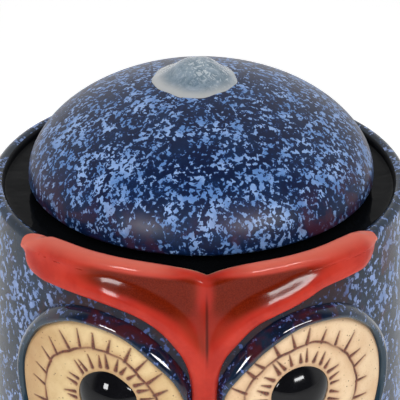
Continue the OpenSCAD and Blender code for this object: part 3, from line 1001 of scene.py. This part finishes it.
def claw(path, lean):
    """Curved path of a claw from a toe's end."""
    t = np.linspace(0, 1, 24)
    ahead = np.array([math.sin(lean), -math.cos(lean), 0])
    way = path[-9] + (6.8 * t ** 0.9)[:, None] * ahead
    way[:, 2] += 1.6 - 6.4 * t ** 1.8
    return way


def claw_size():
    t = np.linspace(0, 1, 24)
    return 2.9 * (1 - t) ** 0.55 + 0.25


def apply_modifiers(made):
    """Make an object's modifiers part of its mesh."""
    graph = bpy.context.evaluated_depsgraph_get()
    mesh = bpy.data.meshes.new_from_object(made.evaluated_get(graph))
    made.modifiers.clear()
    old = made.data
    made.data = mesh
    bpy.data.meshes.remove(old)
    mesh.polygons.foreach_set("use_smooth", [True] * len(mesh.polygons))


make_foot(-1, "left")
make_foot(1, "right")


# ---- felt, and the boss round the cord's hole ----

FELT = plain("felt", (30, 30, 33), (52, 52, 56), (0.85, 0.98), 900, 0.5, 0.0005)
RUBBER = plain("rubber", (16, 16, 17), (30, 30, 32), (0.5, 0.68), 500, 0.2, 0.0002)
SILICONE = plain("silicone", (176, 180, 184), (204, 208, 211), (0.32, 0.46), 240, 0.12, 0.0003,
                 Subsurface_Weight=0.2, Subsurface_Scale=0.004)
HOSE = plain("clear_hose", (196, 204, 208), (222, 228, 231), (0.14, 0.26), 160, 0.1, 0.0003,
             Transmission_Weight=0.7, IOR=1.41)
NOZZLE = plain("nozzle_plastic", (206, 208, 208), (226, 228, 227), (0.28, 0.42), 420, 0.1, 0.0002)
PUMP = plain("pump_plastic", (20, 21, 23), (38, 40, 43), (0.34, 0.52), 1100, 0.3, 0.0002)
KNOB = plain("knob_plastic", (196, 70, 22), (222, 94, 38), (0.22, 0.34), 600, 0.12, 0.0002)
WHITE_CERAMIC = plain("bush_ceramic", (216, 214, 208), (234, 233, 228), (0.12, 0.22), 300, 0.08,
                      0.0001)


def make_felt():
    r, _, thick = np.array(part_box("base_felt")[1]) / MM
    edge = [(r - 0.8 + 0.8 * math.sin(a), thick / 2 - thick / 2 * math.cos(a))
            for a in np.linspace(0, math.pi, 9)]
    outline = [(0.0, 0.0), (r / 2, 0.0)] + edge + [(r / 2, thick), (0.0, thick)]
    made = revolve("felt_disc", outline, 240, FELT)
    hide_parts("base_felt")


make_felt()


def make_boss():
    """Thickened glazed ring round the cord's hole, with soft edges."""
    (_, y0, _), (_, y1, _) = (np.array(corner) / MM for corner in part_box("cord_boss"))
    grommet_low, grommet_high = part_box("cord_grommet")
    z = (grommet_low[2] + grommet_high[2]) / 2 / MM
    outer, inner, soft = 15.0, 8.0, 1.6
    outline = []
    for (r, y), turn in (((outer - soft, y0 + soft), -90), ((outer - soft, y1 - soft), 0),
                         ((inner + soft, y1 - soft), 90), ((inner + soft, y0 + soft), 180)):
        for a in np.radians(np.linspace(turn, turn + 90, 8)):
            outline.append((r + soft * math.cos(a), y + soft * math.sin(a)))
    outline.append(outline[0])

    def lie_down(points):
        return np.stack([points[..., 0], points[..., 2], z + points[..., 1]], -1)

    made = revolve("boss_glazed", outline, 120, BODY_GLAZE, shape=lie_down)
    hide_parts("cord_boss")


make_boss()


# ---- the crown ----

def dome_curve(r, tall, angles):
    """Profile of the dome at some angles, as points of radius and height."""
    return [(r * math.cos(a) ** DOME_SLOPE, DOME_MID + tall * math.sin(a)) for a in angles]


def make_crown():
    tall = DOME_TOP - DOME_MID
    wall, hole = 7.0, 8.5
    start = math.acos((hole / DOME_R) ** (1 / DOME_SLOPE))
    outline = dome_curve(DOME_R, tall, np.linspace(start, 0, 150))
    for a in np.radians(np.linspace(-4, -90, 22)):
        outline.append((DOME_R - ROLL_R * (1 - math.cos(a)), DOME_MID + ROLL_H * math.sin(a)))
    outline += [(85.9, 294), (86, 290), (86, SEAT_Z + 0.6), (85.4, SEAT_Z), (79.6, SEAT_Z),
                (79, SEAT_Z + 0.6), (79.5, SEAT_Z + 8), (84, SEAT_Z + 15)]
    inner_start = math.acos((hole / (DOME_R - wall)) ** (1 / DOME_SLOPE))
    outline += dome_curve(DOME_R - wall, tall - wall, np.linspace(0.14, inner_start, 50))
    outline.append(outline[0])
    outline = np.array(outline)[::-1]
    turns = 480
    turn = angles(turns)
    z = np.broadcast_to(outline[:, 1][:, None], (len(outline), turns))
    r = np.broadcast_to(outline[:, 0][:, None], (len(outline), turns))
    low = 1 - smooth(SEAT_Z + 10, DOME_MID + 18, z)
    right = smooth(0.1, 0.8, np.sin(turn)) * smooth(0.1, 0.6, np.cos(turn))
    film = np.clip(0.12 + 0.9 * low * (0.45 + 0.9 * right), 0, 1)
    edge = np.clip((1 - smooth(DOME_MID - 4, DOME_MID + 28, z)) * (0.75 + 0.5 * right), 0, 1)

    def settle(points):
        swell = round_swell(points, 4, 3, 55.0, 0.3, 7)
        outside = smooth(SEAT_Z + 9, SEAT_Z + 20, points[..., 2]) * smooth(10, 22, r)
        grow = 1 + swell * outside / np.maximum(r, 20)
        return points * np.stack([grow, grow, np.ones_like(grow)], -1) + (CROWN_SHIFT, 0, 0)

    made = revolve("crown_glazed", outline, turns, CROWN_GLAZE, "crown",
                   {"edge": edge, "film": film}, settle, join=0.01)
    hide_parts("crown_dome")


make_crown()


# ---- water ----

POOL = pool_water()
MOUND = mound_water()
MOUND_R = 25.5
MOUND_RISE = 8.6


def make_pool():
    """Water in the pot up to the ring round the crown, drawn up a little at the wall."""
    turns = 400
    edge = float(body_r(WATER_Z)) - WALL + 0.1
    r = np.concatenate([np.linspace(0, 60, 6), np.linspace(66, edge - 3, 40),
                        np.linspace(edge - 2.6, edge, 10)])
    climb = 1.1 * np.exp(-(edge - r) / 1.3)
    top = list(zip(r, WATER_Z + climb))
    outline = [(0.0, WATER_Z - 5), (60, WATER_Z - 5), (edge - 0.5, WATER_Z - 5)] + top[::-1]

    def ripple(points):
        swell = round_swell(points, 8, 6, 22.0, 0.35, 11)
        points = points.copy()
        points[..., 2] += swell * (points[..., 2] > WATER_Z - 2)
        return points

    revolve("water_pool", outline, turns, POOL, shape=ripple)


def crown_height(r):
    """Height of the crown's outside at a radius."""
    level = (r / DOME_R) ** (1 / DOME_SLOPE)
    return DOME_MID + (DOME_TOP - DOME_MID) * np.sqrt(1 - level ** 2)


def make_mound():
    """Water welling from the middle of the crown, and the thick rim that it spills in, its pale
    edge a painted sheen.
    """
    rings, turns = 150, 300
    s, a = polar(rings, turns)
    uneven = 1 + 0.03 * np.sin(2 * a + 0.7) + 0.02 * np.sin(5 * a + 2) + 0.008 * np.sin(11 * a)
    r = s * MOUND_R * uneven
    swell = 0.86 * np.exp(-(s / 0.62) ** 3.2) + 0.14 * (1 - s ** 2)
    top = crown_height(np.minimum(r, MOUND_R * 1.1)) + MOUND_RISE * swell * (1 - s ** 14) - 0.2
    x, y = r * np.sin(a), -r * np.cos(a)
    points = np.stack([x - 0.8, y, top + 0 * a], -1)
    thread = wobble(points * [1, 1, 0.2], 4.2, 1.0, 21)
    broad = wobble(points * [1, 1, 0.2], 11.0, 0.9, 23)
    calm = np.exp(-(((x - 6) / 15) ** 2 + ((y + 7) / 10) ** 2))
    points[..., 2] += (0.55 * thread * calm + 0.5 * broad) * np.clip(1 - s ** 4, 0, 1)
    # Painted sheen: the pale rim of the water, stronger on one side.
    painted_rim_sheen = smooth(0.66, 0.92, s) * (0.5 + 0.5 * smooth(-0.4, 0.7, np.cos(a + 0.5)))
    made = piece("water_mound", points, grid_faces(rings, turns, wrap=True), MOUND,
                 "crown", {"painted_rim_sheen": painted_rim_sheen, "thread": calm + 0 * painted_rim_sheen}, join=0.01)
    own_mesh(made)


make_pool()
make_mound()


# ---- finishes of the CAD parts ----

FINISHES = {
    LINER: ["crown_ledge_1", "crown_ledge_2", "crown_ledge_3", "crown_ledge_4"],
    RUBBER: ["cord_grommet", "cable_gland", "suction_cup_1", "suction_cup_2", "suction_cup_3",
             "suction_cup_4"],
    SILICONE: ["nozzle_seal"],
    HOSE: ["riser_hose"],
    NOZZLE: ["outlet_nozzle", "impeller"],
    PUMP: ["pump_housing", "pump_cover", "strainer"],
    KNOB: ["flow_knob"],
    WHITE_CERAMIC: ["shaft_bush_rear", "shaft_bush_front", "impeller_shaft"],
}
for finish, names in FINISHES.items():
    for name in names:
        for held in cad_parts[name].material_slots:
            held.material = finish


# ---- camera ----

scene = bpy.context.scene
VIEW_TURN = math.radians(-1.3)
VIEW_TILT = math.radians(28)
VIEW_GAP = 1.0
VIEW_DOWN, VIEW_RIGHT = 0.01143, 0.00057
VIEW_LENS = 157.5


def place(name, data):
    """New object in the scene."""
    made = bpy.data.objects.new(name, data)
    scene.collection.objects.link(made)
    return made


def way_to(turn, tilt):
    """Direction from the owl at a turn round it and a tilt up, in radians."""
    return Vector((math.sin(turn) * math.cos(tilt), -math.cos(turn) * math.cos(tilt),
                   math.sin(tilt)))


towards = way_to(VIEW_TURN, VIEW_TILT)
camera = place("camera", bpy.data.cameras.new("camera"))
look = towards.to_track_quat("Z", "Y")
camera.rotation_mode = "QUATERNION"
camera.rotation_quaternion = look
right, up = look @ Vector((1, 0, 0)), look @ Vector((0, 1, 0))
camera.location = (Vector((0, 0, WATER_Z * MM)) + towards * VIEW_GAP
                   - up * VIEW_DOWN + right * VIEW_RIGHT)
camera.data.lens = VIEW_LENS
camera.data.sensor_width = 36
camera.data.clip_start = 0.01
scene.camera = camera


# ---- floor and light ----

def make_floor():
    mesh = bpy.data.meshes.new("floor")
    mesh.from_pydata([(-6, -6, 0), (6, -6, 0), (6, 6, 0), (-6, 6, 0)], [], [(0, 1, 2, 3)])
    mat = Shader("floor", Roughness=0.9, Specular_IOR_Level=0.1, Emission_Color=(1, 1, 1, 1),
                    Emission_Strength=0.4)
    mat.to("Base Color", mat.mix(mat.noise(3, 2.0), (246, 246, 246), (252, 252, 252)))
    mesh.materials.append(mat.material)
    floor = place("floor", mesh)


make_floor()


def make_world():
    """White studio all round, with the dark side of the room behind the camera."""
    world = bpy.data.worlds.new("studio")
    scene.world = world
    world.use_nodes = True
    tree = world.node_tree
    back = tree.nodes["Background"]
    coords = tree.nodes.new("ShaderNodeTexCoord")
    facing = tree.nodes.new("ShaderNodeVectorMath")
    facing.operation = "DOT_PRODUCT"
    tree.links.new(coords.outputs["Generated"], facing.inputs[0])
    lean = math.radians(25)
    facing.inputs[1].default_value = (0, -math.cos(lean), math.sin(lean))
    span = tree.nodes.new("ShaderNodeMapRange")
    span.interpolation_type = "SMOOTHSTEP"
    tree.links.new(facing.outputs["Value"], span.inputs["Value"])
    for socket, value in {"From Min": 0.05, "From Max": 0.45, "To Min": 1, "To Max": 0.05}.items():
        span.inputs[socket].default_value = value
    tree.links.new(span.outputs[0], back.inputs["Strength"])
    back.inputs["Color"].default_value = (1, 1, 1, 1)


make_world()


def softbox(name, turn, tilt, gap, size, power, glossy):
    """Soft light aimed at the face, seen only in reflections if glossy and only as light if not."""
    data = bpy.data.lights.new(name, "AREA")
    data.shape = "RECTANGLE"
    data.size, data.size_y = size
    data.energy = power
    light = place(name, data)
    way = way_to(math.radians(turn), math.radians(tilt))
    light.location = Vector((0, 0, 0.26)) + way * gap
    light.rotation_mode = "QUATERNION"
    light.rotation_quaternion = way.to_track_quat("Z", "Y")
    light.visible_glossy = glossy
    light.visible_diffuse = not glossy


softbox("key", 0, 40, 1.8, (1.6, 1.2), 26, glossy=False)
softbox("window_right", 35, 24, 1.5, (0.7, 0.16), 16, glossy=True)
softbox("window_left", -36, 18, 1.5, (0.3, 0.3), 12, glossy=True)

scene.view_settings.view_transform = "Standard"
